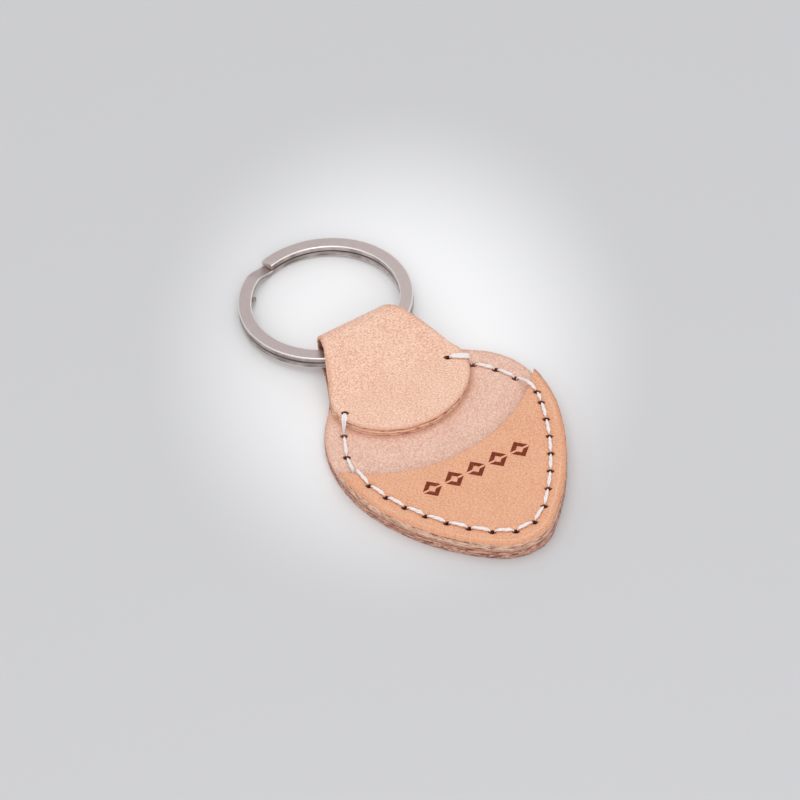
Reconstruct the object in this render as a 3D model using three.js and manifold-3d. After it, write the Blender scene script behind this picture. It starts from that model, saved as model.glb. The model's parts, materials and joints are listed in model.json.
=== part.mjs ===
// Leather pick holder on a split ring, lying on its back.
// Millimetres. +X across, +Y from the pocket's tip to the ring, +Z up out of the leather.
// The origin is the centre of the bounding box, on the surface the holder lies on.
//
// One piece of hide makes the back panel, the strap that folds round the ring and the tab
// that comes down over the panel. A pocket is sewn on the panel with one front thread and
// one back thread, and the split ring swings in the fold.

import * as THREE from 'three';
import { mergeVertices } from 'three/addons/utils/BufferGeometryUtils.js';
import Module from 'manifold-3d';

const wasm = await Module();
wasm.setup();

// Driving dimensions -------------------------------------------------------------------

const HIDE = 1.8; // thickness of the leather
const STACK = 2 * HIDE; // panel and pocket, or panel and tab
const SLIT = 0.1; // air between the tab and the panel

// The pick shape, walked from its tip up each side as [radius, turn in degrees].
// It is cut by hand, so its two sides differ a little.
const TIP_Y = -21.4;
const RIGHT_ARCS = [[7.5, 39], [46, 31], [25, 26], [13, 47], [-17.5, -23]];
const LEFT_ARCS = [[9.2, 38.5], [37, 34], [26.5, 28.5], [19.3, 32], [-24, -26]];
const POCKET_ARC_COUNT = 4; // the pocket stops before the last arc

// The tab, walked from the lowest point of its round end in the same way.
const TAB_Y = 9.8;
const TAB_ARCS = [[14, 45], [9.4, 45], [3, 32]];

// The pocket's mouth is cut to a shallow arc.
const MOUTH_RADIUS = 27.3;
const MOUTH_LOW_Y = 1;

// The fold that holds the ring.
const FOLD_Y = 35.2; // outermost point of the fold
const FOLD_HEIGHT = 7.7;
const FOLD_HIDE = 1.1; // the strap is pared to this where it folds
const FOLD_EDGE_HIDE = 0.5; // and to this along its two edges
const FOLD_EVEN_HALF = 4; // half the width that is pared evenly
const FOLD_EDGE_HALF = 7; // half the width where the edge paring ends
const RISE_START_Y = 21.8; // the tab lies flat up to here
const RISE_FOOT_Y = 24.3; // where it meets the tab, before rounding
const RISE_BREAK_Y = 29.4; // where it leaves the level top, before rounding
const RISE_END_Y = 31.3; // and its end at the top of the fold
const PARE_START_Y = 24; // the panel thins from here
const PARE_END_Y = 27; // to here
const BEND_STEPS = 12;
const SLOPE_STEPS = 8;
const OVERRUN = 0.01; // a cut passes a face by this much

// The slot that takes the picks, cut in the back of the pocket.
const SLOT_DEPTH = 0.7;
const SLOT_INSET = 4;

// The seam, walked from its lowest point in the same way.
const SEAM_Y = -18.65;
const RIGHT_SEAM_ARCS = [[6.9, 44.5], [50, 28.5], [10.8, 32], [15.9, 53]];
const LEFT_SEAM_ARCS = [[6.4, 40], [37, 35], [16.7, 35.5], [26, 41]];

// Stitches: lengths from the middle of the tip stitch, up each side.
const TIP_STITCH = 3.6;
const PITCH = 3.85;
const EVEN_STITCHES = 7;
const RIGHT_TOP_STITCHES = [2.5, 6, 3.9, 4, 4.3];
const LEFT_TOP_STITCHES = [4.8, 4.1, 4.8, 3.6];
const HOLE_LENGTH = 1.64;
const HOLE_WIDTH = 0.85;
const HOLE_ANGLE = -36; // degrees from +X; the needle never turns, so every slit lies the same way
const THREAD_RADIUS = 0.29;
const THREAD_SIDES = 6;
const THREAD_CLEAR = 0.04; // between a thread and the leather
const LEG_OFFSET = 0.33; // from a hole's centre to each leg of thread in it, along the slit
const BRINK = 0.62; // from a hole's centre to where the thread starts to turn in
const STEP_REACH = 0.9; // how far from a step in the leather the thread starts to lift
const LOCK_GAP = 0.12; // half the space between the front and back threads in a hole
const GROOVE_DEPTH = 0.7; // the back thread lies in this groove
const GROOVE_WIDTH = 1;

// Split ring: two turns of flat wire.
const RING_RADIUS = 15;
const WIRE_WIDTH = 2.3;
const WIRE_THICKNESS = 1.1;
const WIRE_CHAMFER = 0.45;
const TURN_GAP = 0.1;
const RING_START = 106; // degrees, where the upper turn's cut end is
const RING_SWEEP = 688; // degrees of wire
const RAMP_START = 341; // degrees along the wire where it steps down a turn
const RAMP_END = 360;
const RING_STEP = 8; // degrees

// The ring swings on an axis across the fold, through the wire.
const PIVOT_Y = 30.4;
const PIVOT_Z = 2.95;
const PIVOT_INSET = 1.55; // from the ring's outer edge
const RING_FLOOR_GAP = 0.02;

const ARC_STEP = 4; // degrees
const ARC_CHORD = 2.2; // longest chord on a large radius

// Plan outlines ------------------------------------------------------------------------

const radians = THREE.MathUtils.degToRad;

const leftNormal = (heading) => new THREE.Vector2(-Math.sin(heading), Math.cos(heading));

// Points along a chain of arcs that starts level at (0, startY), moved inwards by inset.
// A positive radius turns left and a negative one right.
function walk(startY, arcs, inset = 0) {
  let heading = 0;
  let point = new THREE.Vector2(0, startY + inset);
  const stations = [{ point, heading }];
  for (const [fullRadius, turnDegrees] of arcs) {
    const radius = fullRadius - inset;
    const turn = radians(turnDegrees);
    const centre = point.clone().addScaledVector(leftNormal(heading), radius);
    const byAngle = Math.abs(turnDegrees) / ARC_STEP;
    const byChord = Math.abs(radius * turn) / ARC_CHORD;
    const steps = Math.ceil(Math.max(Math.min(byAngle, byChord * 2), byChord));
    for (let i = 1; i <= steps; i += 1) {
      const angle = heading + (turn * i) / steps;
      point = centre.clone().addScaledVector(leftNormal(angle), -radius);
      stations.push({ point, heading: angle });
    }
    heading += turn;
  }
  return stations;
}

const pointsOf = (stations) => stations.map((station) => station.point);

// A closed outline from two halves that both start on the centre line and run up their side.
// The left half is given as its mirror image.
function closed(rightHalf, leftHalf) {
  const left = leftHalf.slice(1).map((point) => new THREE.Vector2(-point.x, point.y));
  return [...rightHalf, ...left.reverse()];
}

// The strap's edge carries on straight from the end of the pick shape's arcs.
function strapEdgeAt(arcs, y) {
  const { point, heading } = walk(TIP_Y, arcs).at(-1);
  const along = (y - point.y) / Math.sin(heading);
  return new THREE.Vector2(point.x + along * Math.cos(heading), y);
}

const foldRadius = FOLD_HEIGHT / 2;
const foldCentreY = FOLD_Y - foldRadius;

function panelOutline() {
  const half = (arcs) => [...pointsOf(walk(TIP_Y, arcs)), strapEdgeAt(arcs, foldCentreY)];
  return closed(half(RIGHT_ARCS), half(LEFT_ARCS));
}

// The tab and strap in plan, as far up as `topY`.
function tabOutline(topY) {
  const half = (arcs) => {
    const strapStart = walk(TIP_Y, arcs).at(-1).point;
    const edge = [strapStart, strapEdgeAt(arcs, FOLD_Y + 1)];
    return [...pointsOf(walk(TAB_Y, TAB_ARCS)), ...edge].reduce((kept, point) => {
      const before = kept.at(-1);
      if (before && before.y >= topY) return kept;
      const share = before && point.y > topY ? (topY - before.y) / (point.y - before.y) : 1;
      return [...kept, before ? before.clone().lerp(point, share) : point];
    }, []);
  };
  return closed(half(RIGHT_ARCS), half(LEFT_ARCS));
}

// The pick shape up to the widest part's shoulder, for the pocket.
function pocketOutline(inset = 0) {
  const half = (arcs) => pointsOf(walk(TIP_Y, arcs.slice(0, POCKET_ARC_COUNT), inset));
  return closed(half(RIGHT_ARCS), half(LEFT_ARCS));
}

// Solids -------------------------------------------------------------------------------

function toManifold(geometry) {
  const bare = geometry.clone();
  bare.deleteAttribute('normal');
  bare.deleteAttribute('uv');
  const merged = mergeVertices(bare, 1e-5);
  return new wasm.Manifold(new wasm.Mesh({
    numProp: 3,
    vertProperties: new Float32Array(merged.attributes.position.array),
    triVerts: new Uint32Array(merged.index.array),
  }));
}

function toGeometry(manifold) {
  const mesh = manifold.getMesh();
  const geometry = new THREE.BufferGeometry();
  geometry.setAttribute('position', new THREE.BufferAttribute(mesh.vertProperties, 3));
  geometry.setIndex(new THREE.BufferAttribute(mesh.triVerts, 1));
  geometry.computeVertexNormals();
  return geometry;
}

// An upright prism over a plan outline.
function prism(outline, low, high) {
  const shape = new THREE.Shape(outline);
  const geometry = new THREE.ExtrudeGeometry(shape, { depth: high - low, bevelEnabled: false });
  geometry.translate(0, 0, low);
  return toManifold(geometry);
}

// A solid skin over sections with equal numbers of points, closed by caps in the shape of `cap`.
function skin(sections, cap) {
  const count = cap.length;
  const positions = sections.flat().flatMap((point) => point.toArray());
  const index = [];
  for (let s = 0; s + 1 < sections.length; s += 1) {
    for (let i = 0; i < count; i += 1) {
      const a = s * count + i;
      const b = s * count + ((i + 1) % count);
      index.push(a, b, a + count, b, b + count, a + count);
    }
  }
  const last = (sections.length - 1) * count;
  for (const [a, b, c] of THREE.ShapeUtils.triangulateShape(cap, [])) {
    index.push(a, c, b, last + a, last + b, last + c);
  }
  const geometry = new THREE.BufferGeometry();
  geometry.setAttribute('position', new THREE.Float32BufferAttribute(positions, 3));
  geometry.setIndex(index);
  geometry.computeVertexNormals();
  return geometry;
}

// A skin over side views that stand at each x in turn.
function loft(sideViews) {
  const sections = sideViews.map(({ x, points }) => points.map((point) => new THREE.Vector3(x, point.x, point.y)));
  return toManifold(skin(sections, sideViews[0].points));
}

// The fold -----------------------------------------------------------------------------

// Half circle round the fold, from its underside to its top, as (y, z).
function bendPoints(radius) {
  const points = [];
  for (let i = 0; i <= BEND_STEPS; i += 1) {
    const angle = Math.PI * (i / BEND_STEPS - 0.5);
    points.push(new THREE.Vector2(foldCentreY + radius * Math.cos(angle), foldRadius + radius * Math.sin(angle)));
  }
  return points;
}

// The strap's slope from the top of the fold down to the flat tab.
function slopePoints(highZ, lowZ, lowY) {
  return new THREE.CubicBezierCurve(
    new THREE.Vector2(RISE_END_Y, highZ),
    new THREE.Vector2(RISE_BREAK_Y, highZ),
    new THREE.Vector2(RISE_FOOT_Y, lowZ),
    new THREE.Vector2(lowY, lowZ),
  ).getPoints(SLOPE_STEPS);
}

// Side view of the fold: its outside from the flat tab's end round to its top and back down.
function foldOutside() {
  return [
    new THREE.Vector2(RISE_START_Y, 0),
    ...bendPoints(foldRadius),
    ...slopePoints(FOLD_HEIGHT, STACK, RISE_START_Y),
  ];
}

// Side view of the tunnel through it, when the leather round the fold is `hide` thick.
function foldInside(hide) {
  const start = RISE_START_Y - OVERRUN;
  return [
    new THREE.Vector2(start, HIDE),
    new THREE.Vector2(PARE_START_Y, HIDE),
    new THREE.Vector2(PARE_END_Y, hide),
    ...bendPoints(foldRadius - hide),
    ...slopePoints(FOLD_HEIGHT - hide, HIDE + SLIT, start),
  ];
}

function foldBlock() {
  const half = 20;
  const side = foldOutside();
  return loft([{ x: -half, points: side }, { x: half, points: side }]);
}

function tunnel() {
  const half = 20;
  const even = foldInside(FOLD_HIDE);
  const edge = foldInside(FOLD_EDGE_HIDE);
  return loft([
    { x: -half, points: edge },
    { x: -FOLD_EDGE_HALF, points: edge },
    { x: -FOLD_EVEN_HALF, points: even },
    { x: FOLD_EVEN_HALF, points: even },
    { x: FOLD_EDGE_HALF, points: edge },
    { x: half, points: edge },
  ]);
}

// Stitches -----------------------------------------------------------------------------

// Half of the seam's line; each point knows its distance from the middle of the tip stitch.
function seamLine(arcs) {
  const stations = walk(SEAM_Y, arcs);
  let distance = 0;
  return stations.map((station, i) => {
    if (i > 0) distance += station.point.distanceTo(stations[i - 1].point);
    return { ...station, distance };
  });
}

const rightSeam = seamLine(RIGHT_SEAM_ARCS);
const leftSeam = seamLine(LEFT_SEAM_ARCS);

// Place and direction on the seam, `distance` up the right side, or the left if negative.
function onSeam(distance) {
  const reach = Math.abs(distance);
  const line = distance < 0 ? leftSeam : rightSeam;
  const next = line.findIndex((station) => station.distance >= reach);
  const to = line[Math.max(next, 1)];
  const from = line[Math.max(next, 1) - 1];
  const share = (reach - from.distance) / (to.distance - from.distance);
  const point = from.point.clone().lerp(to.point, share);
  const direction = to.point.clone().sub(from.point).normalize();
  if (distance < 0) {
    point.x = -point.x;
    direction.y = -direction.y;
  }
  return { point, direction };
}

function holeDistances(topStitches) {
  const distances = [TIP_STITCH / 2];
  for (const length of [...Array(EVEN_STITCHES).fill(PITCH), ...topStitches]) {
    distances.push(distances.at(-1) + length);
  }
  return distances;
}

const mouthCentre = new THREE.Vector2(0, MOUTH_LOW_Y + MOUTH_RADIUS);
const tabShape = tabOutline(FOLD_Y + 1);

function insideTab(point) {
  let inside = false;
  tabShape.forEach((a, i) => {
    const b = tabShape[(i + 1) % tabShape.length];
    const crosses = a.y > point.y !== b.y > point.y;
    if (crosses && point.x < a.x + ((point.y - a.y) * (b.x - a.x)) / (b.y - a.y)) inside = !inside;
  });
  return inside;
}

// Height of the leather's face, on the pocket or the tab, or else on the bare panel.
function faceHeight(point) {
  const onPocket = point.distanceTo(mouthCentre) > MOUTH_RADIUS;
  return onPocket || insideTab(point) ? STACK : HIDE;
}

// All the holes, from the left end of the seam round the tip to the right end.
function seamHoles() {
  const left = holeDistances(LEFT_TOP_STITCHES).reverse().map((distance) => -distance);
  const right = holeDistances(RIGHT_TOP_STITCHES);
  return [...left, ...right].map((distance) => {
    const { point, direction } = onSeam(distance);
    const slit = new THREE.Vector2(1, 0).rotateAround(new THREE.Vector2(), radians(HOLE_ANGLE));
    if (slit.dot(direction) < 0) slit.negate();
    return { distance, point, direction, slit, face: faceHeight(point) };
  });
}

const holes = seamHoles();

function holeCutter({ point, slit }) {
  const shape = new THREE.Shape([
    new THREE.Vector2(-HOLE_LENGTH / 2, 0),
    new THREE.Vector2(-HOLE_LENGTH / 4, -HOLE_WIDTH / 2),
    new THREE.Vector2(HOLE_LENGTH / 4, -HOLE_WIDTH / 2),
    new THREE.Vector2(HOLE_LENGTH / 2, 0),
    new THREE.Vector2(HOLE_LENGTH / 4, HOLE_WIDTH / 2),
    new THREE.Vector2(-HOLE_LENGTH / 4, HOLE_WIDTH / 2),
  ]);
  const geometry = new THREE.ExtrudeGeometry(shape, { depth: STACK + 2, bevelEnabled: false });
  geometry.rotateZ(slit.angle());
  geometry.translate(point.x, point.y, -1);
  return toManifold(geometry);
}

function allHoleCutters() {
  return holes.map(holeCutter).reduce((joined, cutter) => joined.add(cutter));
}

// The groove in the panel's back, from the first hole to the last.
function grooveCutter() {
  const half = GROOVE_WIDTH / 2;
  const from = holes[0].distance - HOLE_LENGTH / 2;
  const to = holes.at(-1).distance + HOLE_LENGTH / 2;
  const steps = Math.ceil((to - from) / ARC_CHORD);
  const outer = [];
  const inner = [];
  for (let i = 0; i <= steps; i += 1) {
    const { point, direction } = onSeam(from + ((to - from) * i) / steps);
    const side = new THREE.Vector2(direction.y, -direction.x);
    outer.push(point.clone().addScaledVector(side, half));
    inner.push(point.clone().addScaledVector(side, -half));
  }
  return prism([...outer, ...inner.reverse()], -1, GROOVE_DEPTH);
}

// A curve whose steps fall on its own points.
class PointCurve extends THREE.Curve {
  constructor(points) {
    super();
    this.points = points;
  }

  getPoint(t) {
    const place = t * (this.points.length - 1);
    const i = Math.min(Math.floor(place), this.points.length - 2);
    return this.points[i].clone().lerp(this.points[i + 1], place - i);
  }

  getPointAt(t) {
    return this.getPoint(t);
  }

  getTangentAt(t) {
    const i = Math.round(t * (this.points.length - 1));
    const before = this.points[Math.max(i - 1, 0)];
    const after = this.points[Math.min(i + 1, this.points.length - 1)];
    return after.clone().sub(before).normalize();
  }
}

function sweep(section, points) {
  return new THREE.ExtrudeGeometry(new THREE.Shape(section), {
    steps: points.length - 1,
    extrudePath: new PointCurve(points),
    curveSegments: 1,
    bevelEnabled: false,
  });
}

function roundSection(radius, sides) {
  const section = [];
  for (let i = 0; i < sides; i += 1) {
    const angle = (2 * Math.PI * i) / sides;
    section.push(new THREE.Vector2(radius * Math.cos(angle), radius * Math.sin(angle)));
  }
  return section;
}

// Thread on a face: `lift` gives its height over a point and `lock` how deep it goes in a hole.
function threadPoints(lift, lock) {
  const points = [];
  const putAt = (spot, height) => points.push(new THREE.Vector3(spot.x, spot.y, height));
  const turnIn = (hole, side) => {
    const face = lift(hole.point, hole);
    const bottom = lock(hole);
    const inwards = Math.sign(bottom - face);
    const depth = Math.abs(bottom - face);
    const bend = Math.min(LEG_OFFSET, depth / 2);
    const brink = hole.point.clone().addScaledVector(hole.direction, side * BRINK);
    const leg = hole.point.clone().addScaledVector(hole.slit, side * LEG_OFFSET);
    putAt(brink, lift(brink));
    putAt(brink.clone().lerp(leg, 0.6), face);
    putAt(leg, face + inwards * bend);
    if (depth > 3 * LEG_OFFSET) putAt(leg, bottom - inwards * bend);
    putAt(leg.clone().lerp(hole.point, 0.4), bottom - inwards * bend * 0.3);
  };
  holes.forEach((hole, i) => {
    if (i > 0) {
      turnIn(hole, -1);
      putAt(hole.point, lock(hole));
    }
    if (i + 1 === holes.length) return;
    const start = points.length;
    turnIn(hole, 1);
    points.push(...points.splice(start).reverse());
    const next = holes[i + 1];
    const level = lift(hole.point, hole) === lift(next.point, next);
    const shares = level ? [0.5] : [0.2, 0.3, 0.4, 0.5, 0.6, 0.7, 0.8];
    for (const share of shares) {
      const middle = onSeam(THREE.MathUtils.lerp(hole.distance, next.distance, share)).point;
      putAt(middle, lift(middle));
    }
  });
  return points;
}

const threadReach = THREAD_RADIUS + THREAD_CLEAR;

// The front thread rides on the highest face in reach, and over a hole on that hole's own face.
function frontLift(point, hole) {
  if (hole) return hole.face + threadReach;
  const around = [0, 1, 2, 3, 4, 5, 6, 7].map((i) => {
    const angle = (i * Math.PI) / 4;
    return point.clone().add(new THREE.Vector2(Math.cos(angle), Math.sin(angle)).multiplyScalar(STEP_REACH));
  });
  return Math.max(...around.map(faceHeight)) + threadReach;
}

function frontThread() {
  const points = threadPoints(frontLift, (hole) => hole.face / 2 + LOCK_GAP + THREAD_RADIUS);
  return sweep(roundSection(THREAD_RADIUS, THREAD_SIDES), points);
}

function backThread() {
  const points = threadPoints(() => threadReach, (hole) => hole.face / 2 - LOCK_GAP - THREAD_RADIUS);
  return sweep(roundSection(THREAD_RADIUS, THREAD_SIDES), points);
}

// Leather pieces -----------------------------------------------------------------------

function leatherBody() {
  const panel = prism(panelOutline(), 0, HIDE);
  const tab = prism(tabOutline(RISE_START_Y), HIDE + SLIT, STACK);
  const fold = foldBlock().intersect(prism(tabShape, -1, FOLD_HEIGHT + 1));
  const whole = panel.add(tab).add(fold).subtract(tunnel());
  return toGeometry(whole.subtract(grooveCutter()).subtract(allHoleCutters()));
}

function pocket() {
  const circle = new THREE.Shape().absarc(mouthCentre.x, mouthCentre.y, MOUTH_RADIUS, 0, 2 * Math.PI);
  const mouth = prism(circle.getPoints(48), 0, STACK + 1);
  const slot = prism(pocketOutline(SLOT_INSET), 0, HIDE + SLOT_DEPTH);
  const face = prism(pocketOutline(), HIDE, STACK);
  return toGeometry(face.subtract(mouth).subtract(slot).subtract(allHoleCutters()));
}

// Split ring ---------------------------------------------------------------------------

// The wire's section as (outwards from the ring's centre, up).
function wireSection() {
  const wide = WIRE_WIDTH / 2;
  const thick = WIRE_THICKNESS / 2;
  const cut = WIRE_CHAMFER;
  return [
    new THREE.Vector2(wide, cut - thick),
    new THREE.Vector2(wide, thick - cut),
    new THREE.Vector2(wide - cut, thick),
    new THREE.Vector2(cut - wide, thick),
    new THREE.Vector2(-wide, thick - cut),
    new THREE.Vector2(-wide, cut - thick),
    new THREE.Vector2(cut - wide, -thick),
    new THREE.Vector2(wide - cut, -thick),
  ];
}

function splitRing() {
  const radius = RING_RADIUS - WIRE_WIDTH / 2;
  const drop = WIRE_THICKNESS + TURN_GAP;
  const section = wireSection();
  const steps = Math.round(RING_SWEEP / RING_STEP);
  const turns = [];
  for (let i = 0; i <= steps; i += 1) {
    const swept = (RING_SWEEP * i) / steps;
    const angle = radians(RING_START - swept);
    const height = drop / 2 - drop * THREE.MathUtils.smoothstep(swept, RAMP_START, RAMP_END);
    turns.push(section.map(({ x: out, y: up }) => new THREE.Vector3(
      (radius + out) * Math.cos(angle),
      (radius + out) * Math.sin(angle),
      height + up,
    )));
  }
  return skin(turns, section);
}

// Assembly -----------------------------------------------------------------------------

function leatherMaterial(color) {
  return new THREE.MeshStandardMaterial({ color, roughness: 0.75, metalness: 0 });
}

const threadMaterial = new THREE.MeshStandardMaterial({ color: 0xf1ebe4, roughness: 0.8, metalness: 0 });
const ringMaterial = new THREE.MeshStandardMaterial({ color: 0xb9adaa, roughness: 0.3, metalness: 1 });

function piece(name, geometry, material) {
  const mesh = new THREE.Mesh(geometry, material);
  mesh.name = name;
  return mesh;
}

function ringAtRest() {
  const swing = new THREE.Group();
  swing.position.set(0, PIVOT_Y, PIVOT_Z);
  const stack = 2 * WIRE_THICKNESS + TURN_GAP;
  const reach = 2 * RING_RADIUS - PIVOT_INSET - WIRE_CHAMFER;
  swing.rotation.x = -Math.asin((PIVOT_Z - stack / 2 - RING_FLOOR_GAP) / reach);
  const ring = piece('split_ring', splitRing(), ringMaterial);
  ring.position.y = RING_RADIUS - PIVOT_INSET;
  swing.add(ring);
  return swing;
}

const holder = new THREE.Group();
holder.add(piece('leather_body', leatherBody(), leatherMaterial(0xe9b896)));
holder.add(piece('pick_pocket', pocket(), leatherMaterial(0xe8ac80)));
holder.add(piece('front_thread', frontThread(), threadMaterial));
holder.add(piece('back_thread', backThread(), threadMaterial));
holder.add(ringAtRest());

// Bring the middle of the bounding box over the origin.
holder.updateMatrixWorld(true);
const middle = new THREE.Box3().setFromObject(holder, true).getCenter(new THREE.Vector3());
holder.position.set(-middle.x, -middle.y, 0);

export default holder;
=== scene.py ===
"""Leather pick holder on a split ring: looks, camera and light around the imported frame.

Lengths in the constants are millimetres, angles are degrees, and the frame is in metres. Shapes
are made in plan coordinates, the ones that the CAD outlines are drawn in, and `into_frame` moves
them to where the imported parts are.
"""
import json
import math

import bmesh
import bpy
import numpy as np
from mathutils import Matrix, Vector, noise


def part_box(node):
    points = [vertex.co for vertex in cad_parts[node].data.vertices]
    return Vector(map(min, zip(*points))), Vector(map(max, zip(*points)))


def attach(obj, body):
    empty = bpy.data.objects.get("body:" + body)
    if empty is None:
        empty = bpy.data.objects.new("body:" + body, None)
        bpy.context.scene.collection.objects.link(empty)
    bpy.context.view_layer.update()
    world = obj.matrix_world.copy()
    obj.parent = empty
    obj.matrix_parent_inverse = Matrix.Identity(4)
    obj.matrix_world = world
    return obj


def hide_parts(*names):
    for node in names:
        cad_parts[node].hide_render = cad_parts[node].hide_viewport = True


MM = 0.001
FAR = 1e9
TINY = 1e-12  # stands in for a length of zero in a division

# Outlines, each walked from its lowest point up one side as (radius, turn in degrees).
TIP_Y = -21.4
RIGHT_ARCS = [(7.5, 39), (46, 31), (25, 26), (13, 47), (-17.5, -23)]
LEFT_ARCS = [(9.2, 38.5), (37, 34), (26.5, 28.5), (19.3, 32), (-24, -26)]
POCKET_ARC_COUNT = 4  # the pocket stops before the outline's last arc
SEAM_Y = -18.65
RIGHT_SEAM_ARCS = [(6.9, 44.5), (50, 28.5), (10.8, 32), (15.9, 53)]
LEFT_SEAM_ARCS = [(6.4, 40), (37, 35), (16.7, 35.5), (26, 41)]
TAB_Y = 9.8
TAB_ARCS = [(14, 45), (9.4, 45), (3, 32)]
MOUTH_RADIUS = 27.3
MOUTH_LOW_Y = 1.0

# Stitches.
TIP_STITCH = 3.6
PITCH = 3.85
EVEN_STITCHES = 7
RIGHT_TOP_STITCHES = [2.5, 6, 3.9, 4, 4.3]
LEFT_TOP_STITCHES = [4.8, 4.1, 4.8, 3.6]
SLIT_ANGLE = -36

# Leather.
HIDE = 1.8
STACK = 2 * HIDE
FOLD_Y = 35.2
FOLD_HEIGHT = 7.7
RISE_START_Y = 21.8
TUNNEL_START_Y = 27  # the inside of the fold darkens from here
TUNNEL_REACH = 3  # over this length
VOXEL = 0.16

# Stamped row of lozenges on the pocket.
MARK_X = 0.1
MARK_Y = -3.5
MARK_TURN = -2.5
MARK_PITCH = 4.15
MARK_COUNT = 5
MARK_WIDTH = 3.95
MARK_HEIGHT = 3.9
MARK_DEPTH = 0.1
MARK_FOOT_Z = STACK - 0.6  # only leather above this height takes the stamp
MARK_FACING = (0.5, 0.9)  # how far up a normal points where the stamp starts and is full
MARK_PRESSED_RIM = (0.9, 1.05)  # where the pressed shape ends, 1 being the lozenge's outline
MARK_PRESSED_HOLLOW = (0.32, 0.46)  # and where it starts round the hollow middle
MARK_INKED_RIM = (0.94, 1.0)
MARK_INKED_HOLLOW = (0.38, 0.44)
MARK_GAP = (0.07, 0.12)  # the stencil's gap across the middle, as a share of half the height

# Split ring.
RING_RADIUS = 15
WIRE_WIDTH = 2.3
WIRE_THICKNESS = 1.1
TURN_GAP = 0.1
RING_START = 106  # where the upper turn's cut end is
RING_SWEEP = 688
RAMP_START = 341  # the wire steps down a turn from here along it
RAMP_END = 360  # to here
PIVOT_INSET = 1.55
RING_FLOOR_GAP = 0.02
CAD_CHAMFER = 0.45


# Plan outlines ------------------------------------------------------------------------

ARC_STEP = 3
SEAM_ARC_STEP = 1.5


def walk(start_y, arcs, step=ARC_STEP):
    """Points along a chain of arcs that starts level at (0, start_y); positive radii turn left."""
    heading = 0.0
    point = np.array([0.0, start_y])
    points = [point]
    for radius, degrees in arcs:
        turn = math.radians(degrees)
        centre = point + radius * np.array([-math.sin(heading), math.cos(heading)])
        count = max(2, math.ceil(abs(degrees) / step))
        for i in range(1, count + 1):
            angle = heading + turn * i / count
            point = centre + radius * np.array([math.sin(angle), -math.cos(angle)])
            points.append(point)
        heading += turn
    return np.array(points)


def outline(start_y, right_arcs, left_arcs):
    """A closed outline, anticlockwise."""
    right = walk(start_y, right_arcs)
    left = walk(start_y, left_arcs)[1:][::-1] * [-1, 1]
    return np.vstack([right, left])


def sides(start_y, right_arcs, left_arcs, beyond=0.0):
    """An outline's two halves as open lines, carried on straight past their ends."""
    halves = []
    for arcs, mirror in ((right_arcs, 1), (left_arcs, -1)):
        line = walk(start_y, arcs)
        last_step = line[-1] - line[-2]
        end = line[-1] + beyond * last_step / np.linalg.norm(last_step)
        halves.append(np.vstack([line, end]) * [mirror, 1])
    return halves


def distance_to_line(points, line):
    """Distance in plan from each point to a polyline."""
    best = np.full(len(points), FAR)
    for a, b in zip(line[:-1], line[1:]):
        along = b - a
        share = np.clip((points - a) @ along / max(along @ along, TINY), 0, 1)
        best = np.minimum(best, np.linalg.norm(points - a - share[:, None] * along, axis=1))
    return best


def is_inside(points, polygon):
    """Whether each point lies inside a closed outline."""
    inside = np.zeros(len(points), bool)
    for a, b in zip(polygon, np.roll(polygon, -1, axis=0)):
        spans = (a[1] > points[:, 1]) != (b[1] > points[:, 1])
        rise = b[1] - a[1] if b[1] != a[1] else TINY
        cross_x = a[0] + (points[:, 1] - a[1]) * (b[0] - a[0]) / rise
        inside ^= spans & (points[:, 0] < cross_x)
    return inside


def smooth_step(low, high, value):
    """0 below low, 1 above high, and an even curve between."""
    share = np.clip((value - low) / (high - low), 0, 1)
    return share * share * (3 - 2 * share)


# Stitch places ------------------------------------------------------------------------


class Seam:
    """The seam's line; a distance is up the right side from the tip, or up the left if negative."""

    def __init__(self):
        self.lines = {}
        for side, arcs in ((1, RIGHT_SEAM_ARCS), (-1, LEFT_SEAM_ARCS)):
            line = walk(SEAM_Y, arcs, SEAM_ARC_STEP)
            lengths = np.linalg.norm(np.diff(line, axis=0), axis=1)
            self.lines[side] = (line, np.concatenate([[0], np.cumsum(lengths)]))

    def at(self, distance):
        side = -1 if distance < 0 else 1
        line, run = self.lines[side]
        reach = abs(distance)
        point = np.array([np.interp(reach, run, line[:, k]) for k in (0, 1)])
        i = min(np.searchsorted(run, reach, side="right"), len(run) - 1)
        direction = line[i] - line[i - 1]
        direction = direction / np.linalg.norm(direction)
        return (point, direction) if side > 0 else (point * [-1, 1], direction * [1, -1])


SEAM = Seam()
TAB = outline(TAB_Y, TAB_ARCS, TAB_ARCS)
MOUTH_CENTRE = np.array([0, MOUTH_LOW_Y + MOUTH_RADIUS])


def face_height(plan):
    """Height of the leather's upper face at points along the seam."""
    on_pocket = np.linalg.norm(plan - MOUTH_CENTRE, axis=1) > MOUTH_RADIUS
    return np.where(on_pocket | is_inside(plan, TAB), STACK, HIDE)


def seam_holes():
    """The holes from the left end of the seam round the tip to the right end."""
    def distances(top):
        return TIP_STITCH / 2 + np.cumsum([0] + [PITCH] * EVEN_STITCHES + top)

    left = -distances(LEFT_TOP_STITCHES)[::-1]
    holes = []
    angle = math.radians(SLIT_ANGLE)
    for distance in [*left, *distances(RIGHT_TOP_STITCHES)]:
        point, direction = SEAM.at(distance)
        slit = np.array([math.cos(angle), math.sin(angle)])
        if slit @ direction < 0:
            slit = -slit
        holes.append({"distance": distance, "point": point, "direction": direction,
                      "slit": slit, "face": float(face_height(point[None])[0]), "covered": False})
    # The thread that goes twice to the hole at each end lies over the next one.
    holes[1]["covered"] = True
    holes[-2]["covered"] = True
    return holes


# Meshes -------------------------------------------------------------------------------

WELD_DISTANCE = 1e-4
RELAX_SHARE = 0.5


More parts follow.
